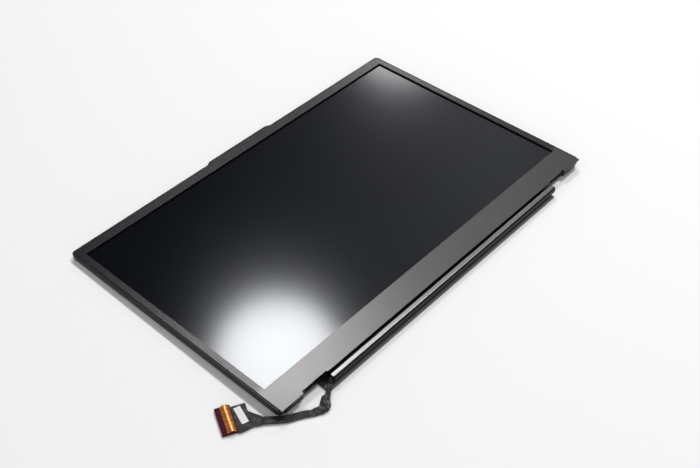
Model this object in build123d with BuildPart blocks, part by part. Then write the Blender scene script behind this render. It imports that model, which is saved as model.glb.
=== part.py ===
from build123d import *
import os
from math import atan2, radians, tan

# A laptop's display lid lying on its back with the screen up, taken off its hinges.
# X runs along the screen's width, Y up the screen and Z out of the screen, in millimetres.
# The origin is under the middle of the lid, level with the underside of the hinge rail.

# Lid in plan
face_width = 358.0
face_height = 229.5
side_border = 5.5
chin_height = 21.9
top_border = 8.9
cover_corner = 4.0
bump_base_width = 74.0
bump_top_width = 66.8
bump_rise = 2.2

# Lid in section
lid_thickness = 6.6
floor_thickness = 1.4
bezel_thickness = 1.2
rim_width = 1.45
rim_gap = 0.35
rim_step = 0.35
rim_chamfer = 0.7
ledge_width = 1.2
back_chamfer = 1.6

# Hinge side: chin wall, bays, rail, lip and round trim bar
chin_setback = 1.7
chin_wall = 1.2
corner_block = 21.4
corner_setback = 0.3
tab_reach = 1.0
left_bay_width = 24.4
right_bay_width = 21.4
bay_slot_margin = 3.0
bay_slot_height = 2.8
rail_drop = 2.4
rail_inner = 7.0
lip_reach = 8.3
lip_thickness = 1.8
lip_end_inset = 4.2
lip_left_reach = 7.6
bar_radius = 3.15
bar_sink = 0.45
bar_gap = 0.5
bar_wall = 0.7
bar_round = 2.5
bar_edge_round = 1.7
bar_end_round = 1.5
bar_foot_width = 3.0
bar_end_wall = 2.0

# Hinge screw inserts
insert_inset = 21.0
insert_from_chin = 8.2
insert_spacing_x = 24.0
insert_spacing_y = 6.6
insert_radius = 1.75
insert_hole_radius = 1.05
insert_length = 2.4
insert_top_above_floor = 1.4
boss_wall = 0.75

# Display module
panel_lap_side = 1.83
panel_lap_top = 0.8
panel_lap_bottom = 5.75
panel_lift = 0.5
tape_width = 8.0
tape_inset = 8.0
tape_end_gap = 12.0
tray_thickness = 0.3
frame_height = 1.7
frame_wall = 2.4
frame_foot = 4.6
cell_inset = 0.7
cell_thickness = 1.2
glass_ledge = 3.0
reflector_thickness = 0.2
guide_thickness = 0.7
films_thickness = 0.6
stack_clearance = 0.4
led_depth = 1.3
led_height = 1.0
led_gap = 0.2

# Driver board along the module's lower edge
board_end_inset = 57.0
board_gap = 0.7
board_depth = 10.4
board_thickness = 0.8
shield_thickness = 0.2
shield_overlap = 8.0
shield_margin = 0.4
tab_count = 6
tab_width = 14.0
tab_thickness = 0.15
tab_landing = 2.2
socket_width = 20.0
socket_depth = 3.2
socket_height = 1.2
socket_from_end = 48.33
socket_from_edge = 3.6
plug_depth = 3.0

# Camera strip in the top border
strip_width = 58.0
strip_depth = 6.4
strip_thickness = 0.8
strip_pad_thickness = 0.4
strip_gap = 1.2
lens_y_offset = -0.6
housing_width = 6.4
housing_depth = 5.0
housing_height = 2.0
barrel_radius = 2.1
barrel_height = 0.5
lens_radius = 1.2
lens_seat = 0.3
window_radius = 2.8
window_thickness = 0.7
window_ledge = 0.7
window_sink = 0.1
mic_spacing = 50.0
mic_length = 3.0
mic_depth = 2.2
mic_height = 1.0
mic_hole_radius = 0.5
gasket_radius = 1.6
gasket_bore_radius = 0.8
light_x = 8.0
light_radius = 0.6
light_chip_width = 1.8
light_chip_height = 0.7
camera_socket_x = -14.0
camera_socket_width = 5.0
camera_socket_depth = 3.2
camera_socket_height = 1.2
camera_plug_width = 4.0

# Wiring that the lid holds
trunk_radius = 1.8
lead_width = 14.0
lead_thickness = 0.8
lead_clearance = 0.3
wire_radius = 0.6
wire_clearance = 0.1
wire_drop_inset = 4.0
wire_bend = 2.5
wire_ramp = 12.0

# Free cable and its plug
ribbon_width = 6.5
ribbon_thickness = 1.7
ribbon_corner = 0.6
ribbon_roll = 6.5
arc_share = 0.45
head_turn = 16.6
head_near = 7.2
head_far = 17.8
head_low = -18.2
head_high = 4.2
head_thickness = 1.4
head_shoulder_low = -10.8
head_shoulder_high = 2.5
head_taper = 7.4
label_width = 5.0
label_length = 14.9
label_thickness = 0.12
label_turn = 9.0
board_plug_depth = 10.9
board_plug_low = -20.0
board_plug_high = 3.2
board_plug_height = 2.1
hump_start = 1.0
hump_end = 6.8
hump_rise = 1.3
film_thickness = 0.3
contact_slot_depth = 2.2
contact_slot_height = 0.9
contact_slot_margin = 1.6

# Small parts
magnet_length = 10.0
magnet_depth = 4.0
magnet_height = 2.0
magnet_inset = 42.0
hook_length = 10.0
hook_thickness = 0.9
hook_drop = 1.6
hook_clearance = 0.2
hook_rows = 4
hook_columns = 3
hook_first = 60.0
hook_pitch = 40.0
stop_length = 5.0
stop_thickness = 1.2
stop_height = 1.8
stop_inset = 52.0
fit_gap = 0.3
overcut = 1.0

# Levels and datum lines
half_face = face_width / 2
depth_total = lip_reach + face_height + rim_gap + rim_width + bump_rise
chin = lip_reach - depth_total / 2
face_top = chin + face_height
cover_half = half_face + rim_gap + rim_width
cover_top = face_top + rim_gap + rim_width
back_z = rail_drop
floor_z = back_z + floor_thickness
face_z = back_z + lid_thickness
bezel_under = face_z - bezel_thickness
rim_top = face_z - rim_step
bump_shrink = tan(atan2(bump_rise, (bump_base_width - bump_top_width) / 2) / 2)
bay_outer = half_face - corner_block
bar_left = left_bay_width - bay_outer
bar_right = bay_outer - right_bay_width
lip_left = bar_left - lip_left_reach
lip_right = bar_right - lip_end_inset
bar_y = chin - bar_gap - bar_radius
bar_z = face_z - bar_sink - bar_radius
bore_radius = bar_radius - bar_wall
open_width = face_width - 2 * side_border
open_height = face_height - chin_height - top_border
open_bottom = chin + chin_height
open_top = open_bottom + open_height
wall_inner = chin + chin_setback + chin_wall

panel_width = open_width + 2 * panel_lap_side
panel_bottom = open_bottom - panel_lap_bottom
panel_top = open_top + panel_lap_top
panel_z = floor_z + panel_lift
stack_z = panel_z + tray_thickness
cell_z = stack_z + frame_height
ledge_z = cell_z + cell_thickness / 2
well_width = panel_width - 2 * frame_wall
well_bottom = panel_bottom + frame_foot
well_top = panel_top - frame_wall
board_top_edge = panel_bottom - board_gap
board_low_edge = board_top_edge - board_depth
board_width = panel_width - 2 * board_end_inset
board_z = panel_z
socket_x = socket_from_end - board_width / 2
board_top_z = board_z + board_thickness
plug_low_edge = board_low_edge + socket_from_edge - plug_depth

strip_y = panel_top + strip_gap + strip_depth / 2
strip_z = floor_z + strip_pad_thickness
strip_top_z = strip_z + strip_thickness
lens_y = strip_y + lens_y_offset
housing_top = strip_top_z + housing_height


def lid_face(level, inset, bottom):
    """Plan of the lid with its camera bump, set in from the cover's edge and ending at a given Y."""
    half = cover_half - inset
    top = cover_top - inset
    base = bump_base_width / 2 - inset * bump_shrink
    peak = bump_top_width / 2 - inset * bump_shrink
    with BuildSketch(Plane.XY.offset(level)) as plan:
        with BuildLine():
            Polyline(
                (-half, bottom),
                (half, bottom),
                (half, top),
                (base, top),
                (peak, top + bump_rise),
                (-peak, top + bump_rise),
                (-base, top),
                (-half, top),
                close=True,
            )
        make_face()
        outer = plan.vertices().group_by(Axis.X)[0] + plan.vertices().group_by(Axis.X)[-1]
        fillet(outer, cover_corner - inset)
    return plan.sketch


def block(level, low, high):
    """Rectangle in plan between two corners, at a given height."""
    with BuildSketch(Plane.XY.offset(level)) as plan:
        with Locations(((low[0] + high[0]) / 2, (low[1] + high[1]) / 2)):
            Rectangle(high[0] - low[0], high[1] - low[1])
    return plan.sketch


insert_centres = []
for side in (-1, 1):
    for step_x in (-0.5, 0.5):
        for step_y in (-0.5, 0.5):
            insert_centres.append(
                (
                    side * (half_face - insert_inset) + step_x * insert_spacing_x,
                    chin + insert_from_chin + step_y * insert_spacing_y,
                )
            )
insert_top = floor_z + insert_top_above_floor
insert_z = insert_top - insert_length

wire_y = panel_bottom - 2 * wire_radius
wire_x = (half_face + rim_gap - ledge_width + panel_width / 2) / 2
wire_z = floor_z + wire_radius + wire_clearance
wire_join_x = bar_left + wire_drop_inset

# Back cover: floor, side walls with a rim, chin wall, hinge rail and bosses
with BuildPart() as back_cover:
    extrude(lid_face(back_z, 0, chin + corner_setback), amount=rim_top - back_z)
    chamfer(back_cover.faces().sort_by(Axis.Z)[0].edges(), back_chamfer)
    extrude(
        block(
            back_z,
            (cover_corner + back_chamfer - cover_half, chin + corner_setback),
            (cover_half - cover_corner - back_chamfer, wall_inner),
        ),
        amount=back_chamfer,
    )
    extrude(
        block(back_z, (-bay_outer, chin), (bay_outer, chin + chin_setback)),
        amount=rim_top - back_z,
        mode=Mode.SUBTRACT,
    )
    chamfer(back_cover.faces().sort_by(Axis.Z)[-1].edges(), rim_chamfer)
    extrude(
        lid_face(bezel_under, rim_width, chin - overcut),
        amount=bezel_thickness,
        mode=Mode.SUBTRACT,
    )
    extrude(
        lid_face(floor_z, rim_width + ledge_width, wall_inner),
        amount=lid_thickness,
        mode=Mode.SUBTRACT,
    )
    with BuildSketch(Plane.YZ.offset(lip_left)):
        with BuildLine():
            Polyline(
                (chin - lip_reach, 0),
                (chin + rail_inner, 0),
                (chin + rail_inner + rail_drop, back_z),
                (chin + rail_inner + rail_drop, floor_z),
                (chin + chin_setback, floor_z),
                (chin + chin_setback, lip_thickness),
                (chin - lip_reach, lip_thickness),
                close=True,
            )
        make_face()
    extrude(amount=lip_right - lip_left)
    extrude(
        block(
            floor_thickness,
            (lip_left + floor_thickness, wall_inner),
            (lip_right - floor_thickness, chin + rail_inner - fit_gap),
        ),
        amount=rail_drop,
        mode=Mode.SUBTRACT,
    )
    for bay_low, bay_high in ((-bay_outer, bar_left), (bar_right, bay_outer)):
        extrude(
            block(
                bezel_under - bay_slot_height,
                (bay_low + bay_slot_margin, chin),
                (bay_high - bay_slot_margin, wall_inner + overcut),
            ),
            amount=bay_slot_height,
            mode=Mode.SUBTRACT,
        )
    for slot_x, slot_width in (
        (socket_x, lead_width + 2 * lead_clearance),
        (wire_join_x, 2 * wire_radius + 2 * lead_clearance),
    ):
        extrude(
            block(
                wire_z - wire_radius - wire_clearance,
                (slot_x - slot_width / 2, chin),
                (slot_x + slot_width / 2, wall_inner + overcut),
            ),
            amount=bezel_under - wire_z + wire_radius + wire_clearance,
            mode=Mode.SUBTRACT,
        )
    with BuildSketch(Plane.XY.offset(back_z + floor_thickness / 2)):
        with Locations(*insert_centres):
            Circle(insert_radius + boss_wall)
    extrude(amount=insert_top - back_z - floor_thickness / 2)
    with BuildSketch(Plane.XY.offset(insert_z)):
        with Locations(*insert_centres):
            Circle(insert_radius)
    extrude(amount=insert_length, mode=Mode.SUBTRACT)
    for side in (-1, 1):
        stop_x = side * (panel_width / 2 - stop_inset)
        extrude(
            block(
                floor_z,
                (stop_x - stop_length / 2, panel_bottom - fit_gap - stop_thickness),
                (stop_x + stop_length / 2, panel_bottom - fit_gap),
            ),
            amount=stop_height,
        )
back_cover.part.label = "back_cover"

with BuildPart() as hinge_inserts:
    with BuildSketch(Plane.XY.offset(insert_z)):
        with Locations(*insert_centres):
            Circle(insert_radius)
            Circle(insert_hole_radius, mode=Mode.SUBTRACT)
    extrude(amount=insert_length)
hinge_inserts.part.label = "hinge_inserts"

# Bezel: flat frame with the camera window seat, sound holes, bay recesses and snap hooks
hook_line = cover_half - rim_width - ledge_width - hook_clearance
hook_top_line = cover_top - rim_width - ledge_width - hook_clearance
with BuildPart() as bezel:
    extrude(lid_face(bezel_under, rim_width + rim_gap, chin), amount=bezel_thickness)
    for side in (-1, 1):
        tab_middle = side * (half_face - corner_block / 2)
        extrude(
            block(
                bezel_under,
                (tab_middle - corner_block / 2, chin - tab_reach),
                (tab_middle + corner_block / 2, chin + chin_setback),
            ),
            amount=bezel_thickness,
        )
    chamfer(bezel.faces().sort_by(Axis.Z)[-1].edges(), rim_gap)
    extrude(
        block(bezel_under, (-open_width / 2, open_bottom), (open_width / 2, open_top)),
        amount=bezel_thickness,
        mode=Mode.SUBTRACT,
    )
    for bay_low, bay_high in ((-bay_outer, bar_left), (bar_right, bay_outer)):
        extrude(
            block(bezel_under, (bay_low, chin - overcut), (bay_high, chin + chin_setback)),
            amount=bezel_thickness,
            mode=Mode.SUBTRACT,
        )
    with Locations((0, lens_y, face_z)):
        CounterBoreHole(
            window_radius - window_ledge,
            window_radius,
            window_thickness + window_sink,
            bezel_thickness,
        )
    with Locations((-mic_spacing / 2, strip_y, face_z), (mic_spacing / 2, strip_y, face_z)):
        Hole(mic_hole_radius, bezel_thickness)
    with Locations((light_x, lens_y, face_z)):
        Hole(light_radius, bezel_thickness)
    for side in (-1, 1):
        for row in range(hook_rows):
            hook_y = open_bottom + open_height * (row + 0.5) / hook_rows
            edge = side * (hook_line - hook_thickness / 2)
            extrude(
                block(
                    bezel_under,
                    (edge - hook_thickness / 2, hook_y - hook_length / 2),
                    (edge + hook_thickness / 2, hook_y + hook_length / 2),
                ),
                amount=-hook_drop,
            )
        for column in range(hook_columns):
            hook_x = side * (hook_first + column * hook_pitch)
            extrude(
                block(
                    bezel_under,
                    (hook_x - hook_length / 2, hook_top_line - hook_thickness),
                    (hook_x + hook_length / 2, hook_top_line),
                ),
                amount=-hook_drop,
            )
bezel.part.label = "bezel"

# Rounded trim bar over the cable channel, closed at its right end.
# Its outer top edge is the sharpest, and its foot stands on the lip.
with BuildPart() as hinge_bar:
    with BuildSketch(Plane.YZ.offset(bar_left)) as bar_section:
        with Locations((bar_y, bar_z)):
            Rectangle(2 * bar_radius, 2 * bar_radius)
        fillet(bar_section.vertices().group_by(Axis.X)[0].sort_by(Axis.Y)[-1], bar_edge_round)
        fillet(bar_section.vertices().group_by(Axis.X)[-1], bar_round)
        fillet(bar_section.vertices().group_by(Axis.Y)[0].sort_by(Axis.X)[0], bar_round)
    extrude(amount=bar_right - bar_left)
    fillet(hinge_bar.faces().sort_by(Axis.X)[-1].edges(), bar_end_round)
    with BuildSketch(Plane.YZ.offset(bar_left)):
        with Locations((bar_y, (lip_thickness + bar_z) / 2)):
            Rectangle(bar_foot_width, bar_z - lip_thickness)
    extrude(amount=bar_right - bar_end_round - bar_left)
    with BuildSketch(Plane.YZ.offset(bar_left)):
        with Locations((bar_y, bar_z)):
            Circle(bore_radius)
    extrude(amount=bar_right - bar_end_wall - bar_left, mode=Mode.SUBTRACT)
    for slot_x, slot_width in (
        (socket_x, lead_width + 2 * lead_clearance),
        (wire_join_x, 2 * wire_radius + 2 * lead_clearance),
    ):
        extrude(
            block(
                bar_z - bore_radius / 2,
                (slot_x - slot_width / 2, bar_y),
                (slot_x + slot_width / 2, bar_y + bar_radius + overcut),
            ),
            amount=bore_radius,
            mode=Mode.SUBTRACT,
        )
hinge_bar.part.label = "hinge_bar"

# Display module, from its back to its front
with BuildPart() as panel_tapes:
    for side in (-1, 1):
        tape_x = side * (panel_width / 2 - tape_inset)
        extrude(
            block(
                floor_z,
                (tape_x - tape_width / 2, panel_bottom + tape_end_gap),
                (tape_x + tape_width / 2, panel_top - tape_end_gap),
            ),
            amount=panel_lift,
        )
panel_tapes.part.label = "panel_tapes"

with BuildPart() as panel_tray:
    extrude(
        block(panel_z, (-panel_width / 2, panel_bottom), (panel_width / 2, panel_top)),
        amount=tray_thickness,
    )
panel_tray.part.label = "panel_tray"

with BuildPart() as panel_frame:
    extrude(
        block(stack_z, (-panel_width / 2, panel_bottom), (panel_width / 2, panel_top)),
        amount=frame_height,
    )
    extrude(
        block(stack_z, (-well_width / 2, well_bottom - led_depth - led_gap), (well_width / 2, well_top)),
        amount=frame_height,
        mode=Mode.SUBTRACT,
    )
panel_frame.part.label = "panel_frame"

with BuildPart() as led_strip:
    extrude(
        block(
            stack_z,
            (stack_clearance - well_width / 2, well_bottom - led_depth - led_gap),
            (well_width / 2 - stack_clearance, well_bottom - led_gap),
        ),
        amount=led_height,
    )
led_strip.part.label = "led_strip"

sheet_low = (stack_clearance - well_width / 2, well_bottom)
sheet_high = (well_width / 2 - stack_clearance, well_top - stack_clearance)
with BuildPart() as reflector_sheet:
    extrude(block(stack_z, sheet_low, sheet_high), amount=reflector_thickness)
reflector_sheet.part.label = "reflector_sheet"

guide_z = stack_z + reflector_thickness
with BuildPart() as light_guide:
    extrude(block(guide_z, sheet_low, sheet_high), amount=guide_thickness)
light_guide.part.label = "light_guide"

with BuildPart() as diffuser_films:
    extrude(block(guide_z + guide_thickness, sheet_low, sheet_high), amount=films_thickness)
diffuser_films.part.label = "diffuser_films"

cell_half = panel_width / 2 - cell_inset
cell_bottom = panel_bottom + cell_inset
with BuildPart() as lcd_cell:
    extrude(
        block(cell_z, (-cell_half, cell_bottom), (cell_half, panel_top - cell_inset)),
        amount=cell_thickness / 2,
    )
    extrude(
        block(ledge_z, (-cell_half, cell_bottom + glass_ledge), (cell_half, panel_top - cell_inset)),
        amount=cell_thickness / 2,
    )
lcd_cell.part.label = "lcd_cell"

# Driver board, its shield sheet, and the film tabs from the glass
with BuildPart() as board_shield:
    extrude(
        block(
            board_z - shield_thickness,
            (-board_width / 2 - shield_margin, board_low_edge - shield_margin),
            (board_width / 2 + shield_margin, panel_bottom + shield_overlap),
        ),
        amount=shield_thickness,
    )
board_shield.part.label = "board_shield"

with BuildPart() as driver_board:
    extrude(
        block(board_z, (-board_width / 2, board_low_edge), (board_width / 2, board_top_edge)),
        amount=board_thickness,
    )
driver_board.part.label = "driver_board"

tab_pitch = board_width / tab_count
with BuildPart() as driver_tabs:
    for tab in range(tab_count):
        tab_x = (tab + 0.5 - tab_count / 2) * tab_pitch
        with BuildSketch(Plane.YZ.offset(tab_x - tab_width / 2)):
            with BuildLine():
                Polyline(
                    (cell_bottom + tab_landing, ledge_z),
                    (panel_bottom - tab_thickness, ledge_z),
                    (board_top_edge, board_top_z),
                    (board_top_edge - tab_landing, board_top_z),
                    (board_top_edge - tab_landing, board_top_z + tab_thickness),
                    (board_top_edge - tab_thickness, board_top_z + tab_thickness),
                    (panel_bottom - 2 * tab_thickness, ledge_z + tab_thickness),
                    (cell_bottom + tab_landing, ledge_z + tab_thickness),
                    close=True,
                )
            make_face()
        extrude(amount=tab_width)
driver_tabs.part.label = "driver_tabs"

socket_low = board_low_edge + socket_from_edge
with BuildPart() as panel_socket:
    extrude(
        block(
            board_top_z,
            (socket_x - socket_width / 2, socket_low),
            (socket_x + socket_width / 2, socket_low + socket_depth),
        ),
        amount=socket_height,
    )
panel_socket.part.label = "panel_socket"

with BuildPart() as panel_plug:
    extrude(
        block(
            board_top_z,
            (socket_x - socket_width / 2 + fit_gap, plug_low_edge),
            (socket_x + socket_width / 2 - fit_gap, socket_low),
        ),
        amount=socket_height - fit_gap,
    )
panel_plug.part.label = "panel_plug"

# Camera strip
with BuildPart() as strip_pad:
    extrude(
        block(
            floor_z,
            (-strip_width / 2, strip_y - strip_depth / 2),
            (strip_width / 2, strip_y + strip_depth / 2),
        ),
        amount=strip_pad_thickness,
    )
strip_pad.part.label = "strip_pad"

with BuildPart() as camera_board:
    extrude(
        block(
            strip_z,
            (-strip_width / 2, strip_y - strip_depth / 2),
            (strip_width / 2, strip_y + strip_depth / 2),
        ),
        amount=strip_thickness,
    )
camera_board.part.label = "camera_board"

with BuildPart() as camera_module:
    extrude(
        block(
            strip_top_z,
            (-housing_width / 2, lens_y - housing_depth / 2),
            (housing_width / 2, lens_y + housing_depth / 2),
        ),
        amount=housing_height,
    )
    with BuildSketch(Plane.XY.offset(housing_top)):
        with Locations((0, lens_y)):
            Circle(barrel_radius)
    extrude(amount=barrel_height)
    with Locations((0, lens_y, housing_top + barrel_height)):
        Hole(lens_radius, barrel_height + lens_seat)
camera_module.part.label = "camera_module"

with BuildPart() as camera_lens:
    with BuildSketch(Plane.XY.offset(housing_top - lens_seat)):
        with Locations((0, lens_y)):
            Circle(lens_radius)
    extrude(amount=barrel_height)
    fillet(camera_lens.edges().group_by(Axis.Z)[-1], lens_seat)
camera_lens.part.label = "camera_lens"

with BuildPart() as camera_window:
    with BuildSketch(Plane.XY.offset(face_z - window_sink - window_thickness)):
        with Locations((0, lens_y)):
            Circle(window_radius)
    extrude(amount=window_thickness)
camera_window.part.label = "camera_window"

mic_places = ((-mic_spacing / 2, strip_y), (mic_spacing / 2, strip_y))
with BuildPart() as microphones:
    with BuildSketch(Plane.XY.offset(strip_top_z)):
        with Locations(*mic_places):
            Rectangle(mic_length, mic_depth)
    extrude(amount=mic_height)
microphones.part.label = "microphones"

with BuildPart() as mic_gaskets:
    with BuildSketch(Plane.XY.offset(strip_top_z + mic_height)):
        with Locations(*mic_places):
            Circle(gasket_radius)
            Circle(gasket_bore_radius, mode=Mode.SUBTRACT)
    extrude(amount=bezel_under - strip_top_z - mic_height)
mic_gaskets.part.label = "mic_gaskets"

with BuildPart() as camera_light:
    extrude(
        block(
            strip_top_z,
            (light_x - light_chip_width / 2, lens_y - light_chip_width / 2),
            (light_x + light_chip_width / 2, lens_y + light_chip_width / 2),
        ),
        amount=light_chip_height,
    )
    with BuildSketch(Plane.XY.offset(strip_top_z + light_chip_height)):
        with Locations((light_x, lens_y)):
            Circle(light_radius)
    extrude(amount=face_z - window_sink - strip_top_z - light_chip_height)
camera_light.part.label = "camera_light"

camera_socket_end = camera_socket_x - camera_socket_width / 2
camera_socket_low = strip_y - strip_depth / 2
with BuildPart() as camera_socket:
    extrude(
        block(
            strip_top_z,
            (camera_socket_end, camera_socket_low),
            (camera_socket_end + camera_socket_width, camera_socket_low + camera_socket_depth),
        ),
        amount=camera_socket_height,
    )
camera_socket.part.label = "camera_socket"

camera_plug_end = camera_socket_end - camera_plug_width
with BuildPart() as camera_plug:
    extrude(
        block(
            strip_top_z,
            (camera_plug_end, camera_socket_low + fit_gap),
            (camera_socket_end, camera_socket_low + camera_socket_depth - fit_gap),
        ),
        amount=camera_socket_height - fit_gap,
    )
camera_plug.part.label = "camera_plug"

with BuildPart() as lid_magnet:
    magnet_x = panel_width / 2 - magnet_inset
    extrude(
        block(
            floor_z,
            (magnet_x - magnet_length / 2, panel_bottom - fit_gap - magnet_depth),
            (magnet_x + magnet_length / 2, panel_bottom - fit_gap),
        ),
        amount=magnet_height,
    )
lid_magnet.part.label = "lid_magnet"


def corner_radii(points):
    """Round for each inner point of a route: a share of its shorter run over the half turn's tangent."""
    radii = []
    for before, corner, after in zip(points, points[1:], points[2:]):
        run_in = Vector(corner) - Vector(before)
        run_out = Vector(after) - Vector(corner)
        half_turn = radians(run_in.get_angle(run_out)) / 2
        radii.append(arc_share * min(run_in.length, run_out.length) / tan(half_turn))
    return radii


# Cable from the module and the camera down to the bar's open end
with BuildPart() as panel_lead:
    extrude(
        block(
            board_top_z + wire_clearance,
            (socket_x - lead_width / 2, bar_y + trunk_radius + wire_clearance),
            (socket_x + lead_width / 2, plug_low_edge),
        ),
        amount=lead_thickness,
    )
panel_lead.part.label = "panel_lead"

lane_y = camera_socket_low + wire_radius + fit_gap
plug_wire_z = strip_top_z + wire_radius + wire_clearance
trunk_z = bar_z - fit_gap
camera_wire_route = [
    (camera_plug_end, lane_y, plug_wire_z),
    (-strip_width / 2 - wire_radius, lane_y, plug_wire_z),
    (-strip_width / 2 - wire_ramp, lane_y, wire_z),
    (-wire_x, lane_y, wire_z),
    (-wire_x, wire_y, wire_z),
    (wire_join_x, wire_y, wire_z),
    (wire_join_x, wire_y - wire_bend - wire_radius, wire_z),
    (wire_join_x, bar_y + trunk_radius + wire_clearance, trunk_z),
]
with BuildPart() as camera_wire:
    with BuildLine() as wire_path:
        FilletPolyline(*camera_wire_route, radius=wire_bend)
    with BuildSketch(Plane(origin=wire_path.line @ 0, z_dir=wire_path.line % 0)):
        Circle(wire_radius)
    sweep(path=wire_path.line)
camera_wire.part.label = "camera_wire"

# Free cable: out of the bar, folded on the table, under the corner and away to its plug.
# Points are measured from the middle of the bar's open end.
exit_point = Vector(bar_left - overcut, bar_y, trunk_z)
cable_route = [
    (-3.245, -2.255, -0.632),
    (-7.7, -5.35, -1.5),
    (-14.1, -8.55, -2.9),
    (-20.7, -11.05, -3.8),
    (-27.4, -8.55, -4.1),
    (-34.7, -3.55, -4.1),
    (-42.6, 0.35, -4.05),
    (-49.1, 6.15, -3.65),
    (-55.0, 11.95, -3.65),
]
cable_points = [exit_point + Vector(*step) for step in cable_route]
cable_radii = corner_radii(cable_points)

with BuildPart() as cable_trunk:
    trunk_start = Vector(socket_x + lead_width / 2, bar_y, trunk_z)
    trunk_route = [trunk_start, exit_point, cable_points[0]]
    with BuildLine() as trunk_path:
        FilletPolyline(*trunk_route, radius=corner_radii(trunk_route))
    with BuildSketch(Plane(origin=trunk_path.line @ 0, z_dir=trunk_path.line % 0)):
        Circle(trunk_radius)
    sweep(path=trunk_path.line)
cable_trunk.part.label = "cable_trunk"

with BuildPart() as display_cable:
    with BuildLine() as cable_path:
        FilletPolyline(*cable_points, radius=cable_radii)
    cable_start = cable_path.line % 0
    across = Vector(0, 0, 1).cross(cable_start)
    with BuildSketch(Plane(origin=cable_path.line @ 0, x_dir=across, z_dir=cable_start)) as cable_section:
        RectangleRounded(ribbon_width, ribbon_thickness, ribbon_corner, rotation=ribbon_roll)
    sweep(path=cable_path.line)
display_cable.part.label = "display_cable"

# Flat cable end, label, and the plug with its film.
# Along the head, X points from the cable to the plug and Y across it.
cable_end = cable_points[-1]
cable_run = cable_end - cable_points[-2]
cable_heading = Vector(cable_run.X, cable_run.Y, 0).normalized()
head_z = cable_end.Z - head_thickness / 2
head_plane = Plane(
    origin=(cable_end.X, cable_end.Y, head_z),
    x_dir=cable_heading.rotate(Axis.Z, head_turn),
    z_dir=(0, 0, 1),
)
neck_half = Vector(0, ribbon_width / 2).rotate(Axis.Z, -head_turn)

with BuildPart() as cable_head:
    with BuildSketch(head_plane) as head_plan:
        with BuildLine():
            Polyline(
                (-neck_half.X, -neck_half.Y),
                (head_near, head_shoulder_low),
                (head_near, head_low),
                (head_far, head_low),
                (head_far, head_high),
                (head_near + head_taper, head_high),
                (head_near, head_shoulder_high),
                (neck_half.X, neck_half.Y),
                close=True,
            )
        make_face()
    extrude(amount=head_thickness)
cable_head.part.label = "cable_head"

with BuildPart() as cable_label:
    label_plane = head_plane.offset(head_thickness)
    with BuildSketch(label_plane):
        with Locations(Location(((head_near + head_far) / 2, head_low / 2, 0), label_turn)):
            Rectangle(label_width, label_length)
    extrude(amount=label_thickness)
cable_label.part.label = "cable_label"

plug_bottom = head_thickness / 2 - board_plug_height / 2
plug_top = plug_bottom + board_plug_height
hump_low = head_far + hump_start
hump_high = head_far + hump_end
hump_middle = (hump_low + hump_high) / 2
plug_section = Plane(
    origin=head_plane.from_local_coords(Vector(0, board_plug_low, 0)),
    x_dir=head_plane.x_dir,
    z_dir=-head_plane.y_dir,
)
plug_span = board_plug_high - board_plug_low

with BuildPart() as board_plug:
    with BuildSketch(plug_section):
        with BuildLine():
            Polyline(
                (hump_low, plug_top),
                (head_far, plug_top),
                (head_far, plug_bottom),
                (head_far + board_plug_depth, plug_bottom),
                (head_far + board_plug_depth, plug_top),
                (hump_high, plug_top),
            )
            ThreePointArc((hump_low, plug_top), (hump_middle, plug_top + hump_rise), (hump_high, plug_top))
        make_face()
    extrude(amount=-plug_span)
    front = head_far + board_plug_depth
    with BuildSketch(head_plane.offset(head_thickness / 2 - contact_slot_height / 2)):
        with Locations((front - contact_slot_depth / 2, (board_plug_low + board_plug_high) / 2)):
            Rectangle(contact_slot_depth, plug_span - 2 * contact_slot_margin)
    extrude(amount=contact_slot_height, mode=Mode.SUBTRACT)
board_plug.part.label = "board_plug"

with BuildPart() as plug_film:
    with BuildSketch(plug_section):
        with BuildLine():
            ThreePointArc((hump_low, plug_top), (hump_middle, plug_top + hump_rise), (hump_high, plug_top))
            Line((hump_high, plug_top), (hump_high + film_thickness, plug_top))
            ThreePointArc(
                (hump_high + film_thickness, plug_top),
                (hump_middle, plug_top + hump_rise + film_thickness),
                (hump_low - film_thickness, plug_top),
            )
            Line((hump_low - film_thickness, plug_top), (hump_low, plug_top))
        make_face()
    extrude(amount=-plug_span)
plug_film.part.label = "plug_film"

pieces = (
    back_cover,
    hinge_inserts,
    bezel,
    hinge_bar,
    panel_tapes,
    panel_tray,
    panel_frame,
    led_strip,
    reflector_sheet,
    light_guide,
    diffuser_films,
    lcd_cell,
    board_shield,
    driver_board,
    driver_tabs,
    panel_socket,
    panel_plug,
    strip_pad,
    camera_board,
    camera_module,
    camera_lens,
    camera_window,
    microphones,
    mic_gaskets,
    camera_light,
    camera_socket,
    camera_plug,
    lid_magnet,
    panel_lead,
    camera_wire,
    cable_trunk,
    display_cable,
    cable_head,
    cable_label,
    board_plug,
    plug_film,
)

os.makedirs("parts", exist_ok=True)
for piece in pieces:
    export_step(piece.part, f"parts/{piece.part.label}.step")

cable_length = sum(edge.length for edge in cable_path.edges())
print("free cable length", round(cable_length, 2))
print("free cable volume", round(display_cable.part.volume, 2))
print("section times length", round(cable_section.sketch.area * cable_length, 2))
print("free cable radii", [round(radius, 1) for radius in cable_radii])
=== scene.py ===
import logging
from abc import ABC, abstractmethod
from dataclasses import dataclass, field
from enum import Enum
from math import atan2, exp, pi

import bmesh
import bpy
from mathutils import Matrix, Vector, noise


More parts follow.
